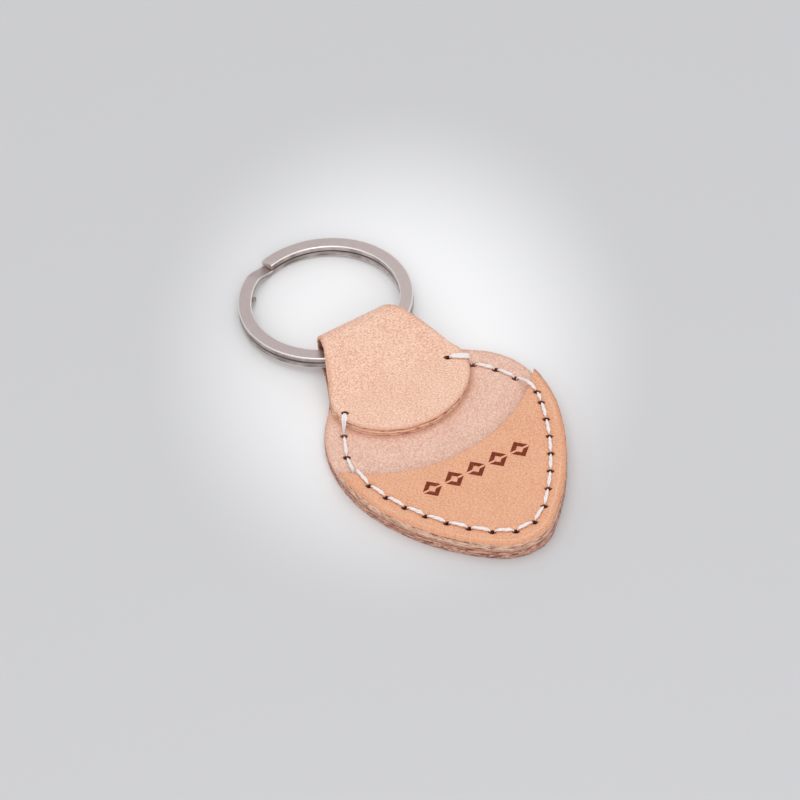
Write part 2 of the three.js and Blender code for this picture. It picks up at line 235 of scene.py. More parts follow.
def plan_shift():
    """How far plan coordinates are from the frame's, in millimetres."""
    ring_low, ring_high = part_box("split_ring")
    body_low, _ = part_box("leather_body")
    return np.array([(ring_low.x + ring_high.x) / 2 / MM, body_low.y / MM - TIP_Y, 0])


def new_object(name, mesh, body):
    obj = bpy.data.objects.new(name, mesh)
    bpy.context.scene.collection.objects.link(obj)
    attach(obj, body)
    return obj


def shade_smooth(mesh):
    mesh.polygons.foreach_set("use_smooth", [True] * len(mesh.polygons))
    mesh.update()


def mesh_from(name, vertices, faces):
    mesh = bpy.data.meshes.new(name)
    mesh.from_pydata([tuple(v) for v in vertices], [], faces)
    shade_smooth(mesh)
    return mesh


def remeshed(node, name):
    """The CAD solid as an even, dense mesh in plan millimetres."""
    mesh = frame["nodes"][node].data.copy()
    mesh.transform(Matrix.Scale(1 / MM, 4))
    work = bmesh.new()
    work.from_mesh(mesh)
    bmesh.ops.remove_doubles(work, verts=work.verts, dist=WELD_DISTANCE)
    work.to_mesh(mesh)
    work.free()
    obj = bpy.data.objects.new(name + "_draft", mesh)
    bpy.context.scene.collection.objects.link(obj)
    modifier = obj.modifiers.new("even", "REMESH")
    modifier.mode = "VOXEL"
    modifier.voxel_size = VOXEL
    evaluated = obj.evaluated_get(bpy.context.evaluated_depsgraph_get())
    result = bpy.data.meshes.new_from_object(evaluated)
    result.name = name
    bpy.data.objects.remove(obj)
    bpy.data.meshes.remove(mesh)
    result.transform(Matrix.Translation(Vector(-SHIFT)))
    result.materials.clear()
    shade_smooth(result)
    return result


def vectors_of(rows, field):
    """One field of a mesh's rows, as an array of vectors."""
    flat = np.empty(len(rows) * 3, np.float32)
    rows.foreach_get(field, flat)
    return flat.reshape(-1, 3).astype(float)


def positions_of(mesh):
    return vectors_of(mesh.vertices, "co")


def normals_of(mesh):
    return vectors_of(mesh.vertex_normals, "vector")


def set_positions(mesh, positions):
    mesh.vertices.foreach_set("co", positions.astype(np.float32).ravel())
    mesh.update()


def relax(mesh, rounds):
    """Moves each vertex towards the mean of its neighbours."""
    edges = np.empty(len(mesh.edges) * 2, np.int32)
    mesh.edges.foreach_get("vertices", edges)
    a, b = edges.reshape(-1, 2).T
    positions = positions_of(mesh)
    degree = np.bincount(edges, minlength=len(positions))[:, None]
    for _ in range(rounds):
        total = np.zeros_like(positions)
        np.add.at(total, a, positions[b])
        np.add.at(total, b, positions[a])
        positions += RELAX_SHARE * (total / degree - positions)
    set_positions(mesh, positions)


def noise_at(positions, size, seed):
    """Smooth noise between about -1 and 1 with features of the given size."""
    offset = Vector((seed, 2 * seed, 3 * seed))
    scaled = positions / size
    return np.array([noise.noise(Vector(p) + offset) for p in scaled])


def store(mesh, name, values):
    """Keeps a value at each vertex, for the material to read."""
    layer = mesh.attributes.new(name, "FLOAT", "POINT")
    layer.data.foreach_set("value", values.astype(np.float32))


def into_frame(mesh):
    """Moves a mesh from plan millimetres to the frame's metres."""
    mesh.transform(Matrix.Translation(Vector(SHIFT)))
    mesh.transform(Matrix.Scale(MM, 4))
    mesh.update()


# Leather ------------------------------------------------------------------------------

LEATHER_ROUNDS = 4  # of relaxing, for both pieces
POCKET_ROUNDS = 2  # and before them, for the pocket alone
POCKET_ROLL = 0.3  # how far the pocket's rim turns down
POCKET_ROLL_WIDTH = 0.9
DIMPLE_DEPTH = 0.2  # where the thread pulls the leather in at each hole
DIMPLE_RADIUS = 0.75
SEAM_DIP = 0.07  # and between the holes
SEAM_DIP_WIDTH = 0.5
SLIT_HALF_LENGTH = 0.66  # the dark patch of each slit
SLIT_HALF_WIDTH = 0.44
SLIT_ROUNDNESS = 1.5  # of its shape, 1 being a lozenge and 2 an oval
COVERED_SLIT = 2.6  # how much smaller it is where a thread lies over the slit
CUT_HALF_LENGTH = 0.82  # the hole that the CAD part has
CUT_HALF_WIDTH = 0.425
SLIT_CLOSING = 0.16
SLIT_CLOSING_REACH = 2.3
EDGE_TURN = (0.35, 0.75)  # how far a normal is off a face's where the cut edge starts and is full
UPPER_TURN = (0.2, 0.6)
FACING = 0.2  # a normal that points up or down by more than this
BACK_Z = 1.2  # leather below this height is the back of the panel
PANEL_TOP_Z = 2.6  # and the panel's napped face is below this
FOLD_INSET = 0.4  # the fold's napped face is this far inside its outer one
WAVE_SIZE = 9.0
WAVE_HEIGHT = 0.035
WAVE_FOOT_Z = 0.4  # the leather stays flat on the table up to here
FIBRE_SIZE = 0.55
FIBRE_HEIGHT = 0.05
FIBRE_FLATNESS = 2.2
NAP_SIZE = 0.42
NAP_EDGE_HEIGHT = 0.035
NAP_FACE_HEIGHT = 0.022
UNDERCUT_REACH = 0.35
UNDERCUT_HALF_HEIGHT = 0.3
UNDERCUT_DEPTH = 0.16
UNDERCUT_CENTRE = (0, RISE_START_Y - 1)  # the edge is drawn in towards this place


def slit_axes(plan, hole):
    """How far points are from a hole along its slit and across it."""
    offset = plan - hole["point"]
    across = np.array([-hole["slit"][1], hole["slit"][0]])
    return offset, offset @ hole["slit"], offset @ across


def slit_distance(plan, holes):
    """1 at the rim of the nearest slit's dark patch, less inside it and more outside."""
    nearest = np.full(len(plan), FAR)
    for hole in holes:
        _, along, across = slit_axes(plan, hole)
        size = np.abs(along / SLIT_HALF_LENGTH) ** SLIT_ROUNDNESS
        size = size + np.abs(across / SLIT_HALF_WIDTH) ** SLIT_ROUNDNESS
        nearest = np.minimum(nearest, size * (COVERED_SLIT if hole["covered"] else 1))
    return nearest


def narrow_slits(plan, holes):
    """Draws the rims of the cut holes in, so that each slit closes on its thread."""
    for hole in holes:
        offset, along, across = slit_axes(plan, hole)
        size = np.hypot(along / CUT_HALF_LENGTH, across / CUT_HALF_WIDTH)
        share = 1 - SLIT_CLOSING * (1 - smooth_step(1.0, SLIT_CLOSING_REACH, size))
        near = size < SLIT_CLOSING_REACH
        plan[near] = hole["point"] + offset[near] * share[near, None]


def hole_distance(plan, holes):
    """Distance in plan from each point to the nearest hole's centre."""
    nearest = np.full(len(plan), FAR)
    for hole in holes:
        nearest = np.minimum(nearest, np.linalg.norm(plan - hole["point"], axis=1))
    return nearest


def cut_edge_share(positions, normals):
    """1 on a cut edge and 0 on the two faces of the hide."""
    flat = smooth_step(*EDGE_TURN, 1 - np.abs(normals[:, 2]))
    strap = smooth_step(*EDGE_TURN, np.abs(normals[:, 0]))
    return np.where(positions[:, 1] > RISE_START_Y, strap, flat)


def flesh_share(positions, normals):
    """1 on the napped inside of the hide and 0 on its grain side."""
    y, z, up = positions[:, 1], positions[:, 2], normals[:, 2]
    radius = FOLD_HEIGHT / 2
    from_fold = np.hypot(y - (FOLD_Y - radius), z - radius)
    panel = (up > FACING) & (z < PANEL_TOP_Z)
    tab = (up < -FACING) & (z > BACK_Z)
    bend = (y > FOLD_Y - radius) & (from_fold < radius - FOLD_INSET)
    return (panel | tab | bend).astype(float)


def finish_leather(mesh, holes, rim_lines, roll=0.0, roll_width=1.0):
    """Rounds, wrinkles and dimples a leather piece and stores what its material needs.

    Its rim turns down by roll, over roll_width.
    """
    relax(mesh, LEATHER_ROUNDS)
    positions = positions_of(mesh)
    normals = normals_of(mesh)
    plan = positions[:, :2]
    edge = cut_edge_share(positions, normals)
    flesh = flesh_share(positions, normals) * (1 - edge)
    rim = np.min([distance_to_line(plan, line) for line in rim_lines], axis=0)

    narrow_slits(plan, holes)
    slit = slit_distance(plan, holes)
    dimple = np.exp(-(hole_distance(plan, holes) / DIMPLE_RADIUS) ** 2)
    upper = smooth_step(*UPPER_TURN, normals[:, 2]) * (positions[:, 2] > BACK_Z)
    positions[:, 2] -= upper * DIMPLE_DEPTH * dimple
    seam = distance_to_line(plan, np.array([hole["point"] for hole in holes]))
    positions[:, 2] -= upper * SEAM_DIP * np.exp(-(seam / SEAM_DIP_WIDTH) ** 2)
    positions[:, 2] -= upper * roll * np.clip(1 - rim / roll_width, 0, 1) ** 2

    waves = noise_at(positions, WAVE_SIZE, seed=1.7)
    fibres = noise_at(positions * [1, 1, FIBRE_FLATNESS], FIBRE_SIZE, seed=5.1)
    nap = noise_at(positions, NAP_SIZE, seed=8.3)
    lift = WAVE_HEIGHT * waves * (positions[:, 2] > WAVE_FOOT_Z)
    lift += edge * (FIBRE_HEIGHT * fibres + NAP_EDGE_HEIGHT * nap) + flesh * NAP_FACE_HEIGHT * nap
    positions += normals * lift[:, None]
    positions[:, 2] = np.maximum(positions[:, 2], 0)
    set_positions(mesh, positions)

    tunnel_end_y = TUNNEL_START_Y + TUNNEL_REACH
    tunnel = flesh * smooth_step(TUNNEL_START_Y, tunnel_end_y, positions[:, 1])
    shares = {"edge": edge, "flesh": flesh, "slit": slit, "rim": rim, "tunnel": tunnel}
    for name, values in shares.items():
        store(mesh, name, values)
    into_frame(mesh)


def leather_body(holes):
    mesh = remeshed("leather_body", "leather_hide")
    positions = positions_of(mesh)
    undercut(positions)
    set_positions(mesh, positions)
    rims = sides(TAB_Y, TAB_ARCS, TAB_ARCS) + sides(TIP_Y, RIGHT_ARCS, LEFT_ARCS, beyond=FOLD_Y)
    finish_leather(mesh, holes, rims)
    obj = new_object("leather_hide", mesh, "pouch")
    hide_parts("leather_body")
    return obj


def undercut(positions):
    """Draws the foot of the tab's cut edge in, so that the tab reads as lying on the panel."""
    plan = positions[:, :2]
    near = distance_to_line(plan, TAB) < UNDERCUT_REACH
    near &= np.abs(positions[:, 2] - HIDE) < UNDERCUT_HALF_HEIGHT
    near &= positions[:, 1] < RISE_START_Y
    inwards = UNDERCUT_CENTRE - plan[near]
    inwards /= np.linalg.norm(inwards, axis=1)[:, None]
    positions[near, :2] += UNDERCUT_DEPTH * inwards


def mark_share(plan):
    """1 on the pressed strokes of the stamped row and 0 off them."""
    turn = math.radians(MARK_TURN)
    offset = plan - [MARK_X, MARK_Y]
    x = offset[:, 0] * math.cos(turn) + offset[:, 1] * math.sin(turn)
    y = offset[:, 1] * math.cos(turn) - offset[:, 0] * math.sin(turn)
    cell = np.abs((x + MARK_PITCH / 2) % MARK_PITCH - MARK_PITCH / 2)
    size = cell / (MARK_WIDTH / 2) + np.abs(y) / (MARK_HEIGHT / 2)
    band = (1 - smooth_step(*MARK_PRESSED_RIM, size)) * smooth_step(*MARK_PRESSED_HOLLOW, size)
    return band * (np.abs(x) < MARK_PITCH * MARK_COUNT / 2)


def press_mark(mesh):
    positions = positions_of(mesh)
    upper = smooth_step(*MARK_FACING, normals_of(mesh)[:, 2]) * (positions[:, 2] > MARK_FOOT_Z)
    positions[:, 2] -= upper * MARK_DEPTH * mark_share(positions[:, :2])
    set_positions(mesh, positions)


def pocket(holes):
    mesh = remeshed("pick_pocket", "pocket_front")
    relax(mesh, POCKET_ROUNDS)
    press_mark(mesh)
    rims = sides(TIP_Y, RIGHT_ARCS[:POCKET_ARC_COUNT], LEFT_ARCS[:POCKET_ARC_COUNT])
    finish_leather(mesh, holes, rims, POCKET_ROLL, POCKET_ROLL_WIDTH)
    obj = new_object("pocket_front", mesh, "pouch")
    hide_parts("pick_pocket")
    return obj


# Thread -------------------------------------------------------------------------------

STRANDS = 3
STRAND_RADIUS = 0.175
STRAND_OFFSET = 0.13
STRAND_SIDES = 8
TWIST_LENGTH = 3.6
THREAD_STEP = 0.1
THREAD_SQUASH = 0.85
STITCH_ROWS = 80
MEAN_ROWS = 9  # how many rows the height of a stitch is evened over
FACE_REACH = 0.3  # a front stitch clears the leather this far to each side
BACK_Z_OF_THREAD = 0.04
BACK_FULLNESS = 0.8
LOCK_OFFSET = 0.3  # how far each thread's turn is from the middle of the leather
RISING = (0.16, 0.5)  # how far from a hole a stitch starts to come up, and is up
FILLING = (0.3, 1.1)  # and how far from it the thread fills out
LIFT = 0.16
FULL_LIFT = 0.14  # added to it where the thread is full
THIN_PART = 0.42  # of the thread's thickness in a hole
FULL_PART = 0.46  # added to it along a stitch
TIP_PART = 0.3  # added to it at the end that is closer to the pouch's tip
TIP_FILLING = (0.15, 0.8)
DOUBLE_SPREAD = 0.22  # how far the two runs of a double stitch bow apart
DOUBLE_BOW = 0.8
DOUBLE_FULLNESS = 1.08
LEAVING_SHARE = 0.5  # a double stitch's thickness where it has left the upper leather
START_DIRECTION = [0.3, 0.8, 0.5]  # any direction that doesn't lie along the thread


def highest_near(plan, reach):
    """The highest leather within reach of each point."""
    heights = face_height(plan)
    for angle in np.arange(8) * math.pi / 4:
        step = reach * np.array([math.cos(angle), math.sin(angle)])
        heights = np.maximum(heights, face_height(plan + step))
    return heights


def running_mean(values, width):
    """Each value's mean with its neighbours, over an odd width."""
    half = width // 2
    padded = np.concatenate([np.full(half, values[0]), values, np.full(half, values[-1])])
    return np.convolve(padded, np.ones(2 * half + 1) / (2 * half + 1), "valid")


def pulled_tight(run, heights):
    """The heights of a string pulled tight over an uneven surface."""
    corners = []
    for x, z in zip(run, heights):
        while len(corners) > 1:
            (x0, z0), (x1, z1) = corners[-2:]
            if (x1 - x0) * (z - z0) < (z1 - z0) * (x - x0):
                break
            corners.pop()
        corners.append((x, z))
    return np.interp(run, *np.transpose(corners))


def front_level(plan):
    return highest_near(plan, FACE_REACH)


def back_level(plan):
    return np.full(len(plan), BACK_Z_OF_THREAD)


def stitch(start, end, level, lock, spread=0.0, fullness=1.0):
    """One taut stitch between two holes: rows of x, y, z, thickness and depth below the leather.

    It is fullest near the end that is closer to the pouch's tip.
    """
    a, b = start["point"], end["point"]
    length = np.linalg.norm(b - a)
    run = np.linspace(0, length, STITCH_ROWS)
    along = (b - a) / length
    across = np.array([-along[1], along[0]])
    near = np.minimum(run, length - run)
    bow = spread * np.sin(math.pi * run / length) ** DOUBLE_BOW
    plan = a + run[:, None] * along + bow[:, None] * across
    tip_share = run / length if abs(end["distance"]) < abs(start["distance"]) else 1 - run / length
    risen = smooth_step(*RISING, near)
    full = smooth_step(*FILLING, near)
    face = level(plan)
    height = running_mean(pulled_tight(run, face), MEAN_ROWS) + LIFT + FULL_LIFT * full
    depth = np.where(run < length / 2, lock(start), lock(end))
    z = depth + (height - depth) * risen
    tip_part = TIP_PART * full * smooth_step(*TIP_FILLING, tip_share)
    thickness = fullness * (THIN_PART + FULL_PART * full + tip_part)
    if spread:
        on_upper = smooth_step(HIDE, STACK, running_mean(face, MEAN_ROWS))
        thickness = thickness * (LEAVING_SHARE + (1 - LEAVING_SHARE) * on_upper)
    return np.column_stack([plan, z, thickness, np.maximum(face - z, 0)])


def evenly(rows, step):
    """The same path with evenly spaced rows."""
    run = np.concatenate([[0], np.cumsum(np.linalg.norm(np.diff(rows[:, :3], axis=0), axis=1))])
    even = np.arange(0, run[-1], step)
    return np.stack([np.interp(even, run, column) for column in rows.T], axis=1)


def sides_and_ups(path):
    """Unit side and up vectors that turn as little as they can along a path."""
    tangents = np.gradient(path, axis=0)
    tangents /= np.linalg.norm(tangents, axis=1)[:, None]
    side = np.cross(tangents[0], START_DIRECTION)
    sides = []
    for tangent in tangents:
        side = side - tangent * (side @ tangent)
        side /= np.linalg.norm(side)
        sides.append(side)
    sides = np.array(sides)
    return sides, np.cross(sides, tangents)


def tube_faces(rows, sides, first):
    """The faces of a closed tube whose vertices start at first, row by row."""
    faces = []
    for i in range(rows - 1):
        for j in range(sides):
            a = first + i * sides + j
            b = first + i * sides + (j + 1) % sides
            faces.append((a, b, b + sides, a + sides))
    last = first + (rows - 1) * sides
    faces.append(tuple(first + j for j in reversed(range(sides))))
    faces.append(tuple(last + j for j in range(sides)))
    return faces


def twisted(name, passes):
    """A thread of three strands laid round each other, over a list of stitches."""
    rows = evenly(np.vstack(passes), THREAD_STEP)
    path, thickness, sunk = rows[:, :3], rows[:, 3], rows[:, 4]
    sides, ups = sides_and_ups(path)
    run = np.arange(len(path)) * THREAD_STEP
    around = np.arange(STRAND_SIDES) * 2 * math.pi / STRAND_SIDES
    ring = np.cos(around)[None, :, None] * sides[:, None]
    ring = ring + np.sin(around)[None, :, None] * ups[:, None]
    vertices, faces = [], []
    for k in range(STRANDS):
        phase = 2 * math.pi * (run / TWIST_LENGTH + k / STRANDS)
        lay = np.cos(phase)[:, None] * sides + np.sin(phase)[:, None] * ups
        strand = path + STRAND_OFFSET * thickness[:, None] * lay
        tube = strand[:, None] + STRAND_RADIUS * thickness[:, None, None] * ring
        tube[:, :, 2] = path[:, None, 2] + THREAD_SQUASH * (tube[:, :, 2] - path[:, None, 2])
        vertices.append(tube.reshape(-1, 3))
        faces += tube_faces(len(path), STRAND_SIDES, k * len(path) * STRAND_SIDES)
    mesh = mesh_from(name, np.vstack(vertices), faces)
    store(mesh, "sunk", np.tile(np.repeat(sunk, STRAND_SIDES), STRANDS))
    into_frame(mesh)
    return mesh


def front_passes(holes):
    """The needle thread goes twice between the two holes at each end."""
    def lock(hole):
        return hole["face"] / 2 + LOCK_OFFSET

    def double(start, end):
        return stitch(start, end, front_level, lock, DOUBLE_SPREAD, DOUBLE_FULLNESS)

    singles = [stitch(a, b, front_level, lock) for a, b in zip(holes[1:-2], holes[2:-1])]
    return [double(holes[1], holes[0]), double(holes[0], holes[1]), *singles,
            double(holes[-2], holes[-1]), double(holes[-1], holes[-2])]


def back_passes(holes):
    """The second thread, once from hole to hole along the back."""
    def lock(hole):
        return hole["face"] / 2 - LOCK_OFFSET

    return [stitch(a, b, back_level, lock, fullness=BACK_FULLNESS) for a, b in zip(holes[:-1], holes[1:])]


def threads(holes):
    pieces = []
    for name, passes, node in (("needle_thread", front_passes(holes), "front_thread"),
                               ("bobbin_thread", back_passes(holes), "back_thread")):
        obj = new_object(name, twisted(name, passes), "pouch")
        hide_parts(node)
        pieces.append(obj)
    return pieces


# Split ring ---------------------------------------------------------------------------

RING_STEP = 2
BEVEL = 0.16
BEVEL_STEPS = 3
FLAT_GUARD = 0.04
WIRE_RELIEF = 0.05
END_NUB = 0.45  # the lower turn's end steps inwards by this much
END_NUB_SWEEP = 7
END_NUB_FLAT = 1


def wire_section():
    """The flat wire's section with rounded corners, as (outwards, up)."""
    wide = WIRE_WIDTH / 2 - BEVEL
    thick = WIRE_THICKNESS / 2 - WIRE_RELIEF - BEVEL
    points = []
    for k, (sx, sy) in enumerate(((1, 1), (-1, 1), (-1, -1), (1, -1))):
        angles = math.pi / 2 * (k + np.arange(BEVEL_STEPS + 1) / BEVEL_STEPS)
        corner = [(math.cos(a), math.sin(a)) for a in angles]
        rounded = [(sx * wide + BEVEL * x, sy * thick + BEVEL * y) for x, y in corner]
        before, after = (corner[0][1], -corner[0][0]), (-corner[-1][1], corner[-1][0])
        first = (rounded[0][0] + FLAT_GUARD * before[0], rounded[0][1] + FLAT_GUARD * before[1])
        last = (rounded[-1][0] + FLAT_GUARD * after[0], rounded[-1][1] + FLAT_GUARD * after[1])
        points += [first, *rounded, last]
    return points


def ring_vertices(section, sweeps):
    """The wire's section at each sweep, in degrees, along the ring."""
    radius = RING_RADIUS - WIRE_WIDTH / 2
    drop = WIRE_THICKNESS + TURN_GAP
    angles = np.radians(RING_START - sweeps)
    heights = drop / 2 - drop * smooth_step(RAMP_START, RAMP_END, sweeps)
    nubs = END_NUB * smooth_step(RING_SWEEP - END_NUB_SWEEP, RING_SWEEP - END_NUB_FLAT, sweeps)
    vertices = []
    for angle, height, nub in zip(angles, heights, nubs):
        for out, up in section:
            reach = radius + out - nub
            vertices.append((reach * math.cos(angle), reach * math.sin(angle), height + up))
    return vertices


def ring_shares(section, sweeps):
    """Which vertices are on the wire's walls, on its flats, and where its two turns meet."""
    half_flat = WIRE_WIDTH / 2 - BEVEL - FLAT_GUARD / 2
    half_wall = WIRE_THICKNESS / 2 - WIRE_RELIEF - BEVEL - FLAT_GUARD / 2
    walls = [float(abs(out) > half_flat + BEVEL and abs(up) < half_wall) for out, up in section]
    flats = [float(abs(out) < half_flat) for out, _ in section]
    lower = np.array([float(up < 0) for _, up in section])
    above = sweeps < RING_SWEEP - 360
    below = sweeps > RAMP_END
    inner = np.outer(above, lower) + np.outer(below, 1 - lower)
    return {"wall": np.tile(walls, len(sweeps)), "flat": np.tile(flats, len(sweeps)), "inner": inner.ravel()}


def ring_faces(steps, count):
    """The faces along the wire, between its two cut ends."""
    faces = [tuple(range(count))]
    for i in range(steps):
        for j in range(count):
            a = i * count + j
            b = i * count + (j + 1) % count
            faces.append((a, a + count, b + count, b))
    faces.append(tuple(steps * count + j for j in reversed(range(count))))
    return faces


def split_ring():
    """Two turns of flat wire, tilted about the hinge so that the far side rests on the table."""
    section = wire_section()
    steps = round(RING_SWEEP / RING_STEP)
    sweeps = RING_SWEEP * np.arange(steps + 1) / steps
    mesh = mesh_from("ring_wire", ring_vertices(section, sweeps), ring_faces(steps, len(section)))
    for attribute, values in ring_shares(section, sweeps).items():
        store(mesh, attribute, values)
    # The wire's cut ends are the first face and the last.
    for end in (0, len(mesh.polygons) - 1):
        mesh.polygons[end].use_smooth = False
    pivot = Vector(frame["joints"][0]["pos_m"]) / MM
    stack = 2 * WIRE_THICKNESS + TURN_GAP
    reach = 2 * RING_RADIUS - PIVOT_INSET - CAD_CHAMFER
    tilt = -math.asin((pivot.z - stack / 2 - RING_FLOOR_GAP) / reach)
    mesh.transform(Matrix.Translation((0, RING_RADIUS - PIVOT_INSET, 0)))
    mesh.transform(Matrix.Rotation(tilt, 4, "X"))
    mesh.transform(Matrix.Translation((SHIFT[0], pivot.y, pivot.z)))
    mesh.transform(Matrix.Scale(MM, 4))
    obj = new_object("ring_wire", mesh, "ring")
    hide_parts("split_ring")
    return obj


# Materials ----------------------------------------------------------------------------

MIX_SOCKETS = {"RGBA": (6, 2), "FLOAT": (2, 0)}  # a mix node's first input and its result


class Shader:
    """A material's node tree with short calls for the nodes used here."""

    def __init__(self, name):
        self.material = bpy.data.materials.new(name)
        self.material.use_nodes = True
        self.tree = self.material.node_tree
        self.surface = self.tree.nodes["Principled BSDF"]
        self.coordinates = self.tree.nodes.new("ShaderNodeTexCoord").outputs["Object"]

    def link(self, source, target):
        if hasattr(source, "is_linked"):
            self.tree.links.new(source, target)
        else:
            target.default_value = source

    def math(self, operation, a, b=0.0, clamp=False):
        node = self.tree.nodes.new("ShaderNodeMath")
        node.operation = operation
        node.use_clamp = clamp
        self.link(a, node.inputs[0])
        self.link(b, node.inputs[1])
        return node.outputs[0]

    def ramp(self, value, low, high, to_low=0.0, to_high=1.0):
        node = self.tree.nodes.new("ShaderNodeMapRange")
        node.interpolation_type = "SMOOTHSTEP"
        self.link(value, node.inputs["Value"])
        limits = {"From Min": low, "From Max": high, "To Min": to_low, "To Max": to_high}
        for name, number in limits.items():
            node.inputs[name].default_value = number
        return node.outputs["Result"]

    def mix(self, share, a, b, kind="RGBA"):
        """A mix of two colours, or of two numbers if kind is FLOAT."""
        node = self.tree.nodes.new("ShaderNodeMix")
        node.data_type = kind
        first, result = MIX_SOCKETS[kind]
        self.link(share, node.inputs[0])
        self.link(a, node.inputs[first])
        self.link(b, node.inputs[first + 1])
        return node.outputs[result]

    def stretched(self, scale, turn=(0, 0, 0)):
        node = self.tree.nodes.new("ShaderNodeMapping")
        self.link(self.coordinates, node.inputs["Vector"])
        node.inputs["Scale"].default_value = scale
        node.inputs["Rotation"].default_value = turn
        return node.outputs["Vector"]

    def around(self, x, y, degrees, scale=(1, 1, 1)):
        """Coordinates measured from a place in the frame, turned and scaled in plan."""
        node = self.tree.nodes.new("ShaderNodeMapping")
        node.vector_type = "TEXTURE"
        self.link(self.coordinates, node.inputs["Vector"])
        node.inputs["Location"].default_value = (x * MM, y * MM, 0)
        node.inputs["Rotation"].default_value = (0, 0, math.radians(degrees))
        node.inputs["Scale"].default_value = scale
        return node.outputs["Vector"]

    def parts(self, vector):
        """A vector's X, Y and Z."""
        node = self.tree.nodes.new("ShaderNodeSeparateXYZ")
        self.link(vector, node.inputs[0])
        return node.outputs

    def height(self):
        return self.parts(self.coordinates)["Z"]

    def times(self, a, b):
        return self.math("MULTIPLY", a, b)

    def noise(self, size, detail=2.0, vector=None, distortion=0.0):
        node = self.tree.nodes.new("ShaderNodeTexNoise")
        self.link(vector or self.coordinates, node.inputs["Vector"])
        node.inputs["Scale"].default_value = 1 / (size * MM)
        node.inputs["Detail"].default_value = detail
        node.inputs["Distortion"].default_value = distortion
        return node.outputs["Fac"]

    def cells(self, size, vector=None):
        node = self.tree.nodes.new("ShaderNodeTexVoronoi")
        self.link(vector or self.coordinates, node.inputs["Vector"])
        node.inputs["Scale"].default_value = 1 / (size * MM)
        return node.outputs["Distance"]

    def attribute(self, name):
        node = self.tree.nodes.new("ShaderNodeAttribute")
        node.attribute_name = name
        return node.outputs["Fac"]

    def bump(self, height, depth):
        node = self.tree.nodes.new("ShaderNodeBump")
        node.inputs["Strength"].default_value = 1.0
        node.inputs["Distance"].default_value = depth * MM
        self.link(height, node.inputs["Height"])
        self.link(node.outputs["Normal"], self.surface.inputs["Normal"])

    def set(self, name, value):
        """Sets or links one of the surface's inputs."""
        self.link(value, self.surface.inputs[name])


def colour(red, green, blue):
    """A colour from its sRGB values, 0 to 255."""
    def linear(value):
        share = value / 255
        return share / 12.92 if share <= 0.04045 else ((share + 0.055) / 1.055) ** 2.4
    return (linear(red), linear(green), linear(blue), 1.0)


HIDE_TONES = (colour(237, 189, 163), colour(251, 216, 194), colour(214, 158, 130))
POCKET_TONES = (colour(228, 168, 132), colour(240, 186, 152), colour(206, 142, 106))
NAP_DARK = colour(224, 177, 155)
NAP_PALE = colour(247, 212, 194)
NAP_SOILED = colour(214, 162, 138)
NAP_FLECK = colour(158, 98, 76)
PANEL_EDGE_TONES = (colour(232, 182, 160), colour(174, 116, 94), colour(108, 50, 34))
TAB_EDGE_TONES = (colour(255, 214, 186), colour(248, 196, 164), colour(166, 100, 66))
POCKET_EDGE_TONES = (colour(248, 208, 182), colour(216, 166, 138), colour(132, 78, 56))
STRAY_FIBRE = colour(244, 218, 202)
TAB_LINE = colour(150, 84, 52)
# painted shadow where two layers of leather meet
LAYER_SHADOW = colour(96, 40, 26)
TUNNEL_SHADE = colour(96, 48, 32)
SLIT_SHADE = colour(118, 36, 12)
STAMP = colour(118, 36, 0)
# rubbed rims of the tab and strap, and painted shadow on the panel below the tab's edge
HIDE_RIM_WEAR_AND_SHADOW = colour(204, 140, 112)
POCKET_RIM = colour(216, 148, 112)
POCKET_CREASE = colour(250, 208, 178)
THREAD_DARK = colour(236, 224, 220)
THREAD_PALE = colour(255, 250, 248)
# painted shade on the thread where it sinks into a hole
THREAD_HOLE_SHADE = colour(122, 46, 24)
NICKEL_DARK = colour(200, 184, 180)
NICKEL_PALE = colour(214, 200, 196)
# painted highlight on the wire's bevels
NICKEL_BEVEL_HIGHLIGHT = colour(255, 252, 248)
# painted shade in the gap between the ring's two turns
NICKEL_GAP_SHADE = colour(96, 80, 74)
# painted shade on the wire's walls
NICKEL_WALL_SHADE = colour(112, 98, 92)
# the floor inside a painted pool of light, and the dimmer floor beyond it
FLOOR_PAINTED_LIGHT = colour(247, 247, 247)
FLOOR_PAINTED_DIM = colour(205, 205, 206)

SEAM_WAVE = 0.25  # how far the dark lines and the painted shadow between the layers wander
LEATHER_SPECULAR = 0.22
LEATHER_SHEEN = 0.05
SHEEN_ROUGHNESS = 0.6
LEATHER_RELIEF = 0.06
THREAD_RELIEF = 0.03
RING_RELIEF = 0.0006
THREAD_SCATTER = 0.4


def grain_colour(shader, tones):
    """Grain side: fine pale and dark flecks that lie across the strap, over faint clouds."""
    base, light, pore = tones
    clouds = shader.ramp(shader.noise(5.0, 3.0), 0.35, 0.65)
    tone = shader.mix(shader.times(clouds, 0.3), base, light)
    grain = shader.noise(0.36, 2.5, shader.stretched((1, 2.0, 2.0), (0, 0, 0.25)), 0.3)
    pores = shader.cells(0.4, shader.stretched((1, 1.4, 1.4), (0, 0, 0.3)))
    tone = shader.mix(shader.ramp(grain, 0.505, 0.6, 0.0, 0.88), tone, light)
    tone = shader.mix(shader.ramp(grain, 0.485, 0.38, 0.0, 0.72), tone, pore)
    return tone, shader.math("ADD", shader.times(grain, 1.2), shader.times(pores, -0.5))


def flesh_colour(shader):
    """Napped side: pinkish, finely mottled, with stray dark fibres and soiled patches."""
    nap = shader.noise(0.38, 4.0, shader.stretched((1.6, 1, 1), (0, 0, -0.5)), 1.2)
    tone = shader.mix(shader.ramp(nap, 0.4, 0.6), NAP_DARK, NAP_PALE)
    soiled = shader.ramp(shader.noise(3.5, 3.0), 0.45, 0.75)
    tone = shader.mix(shader.times(soiled, 0.22), tone, NAP_SOILED)
    fleck = shader.ramp(shader.noise(0.55, 1.5, shader.stretched((1, 1.8, 1)), 3.0), 0.64, 0.71)
    return shader.mix(shader.times(fleck, 0.65), tone, NAP_FLECK), nap


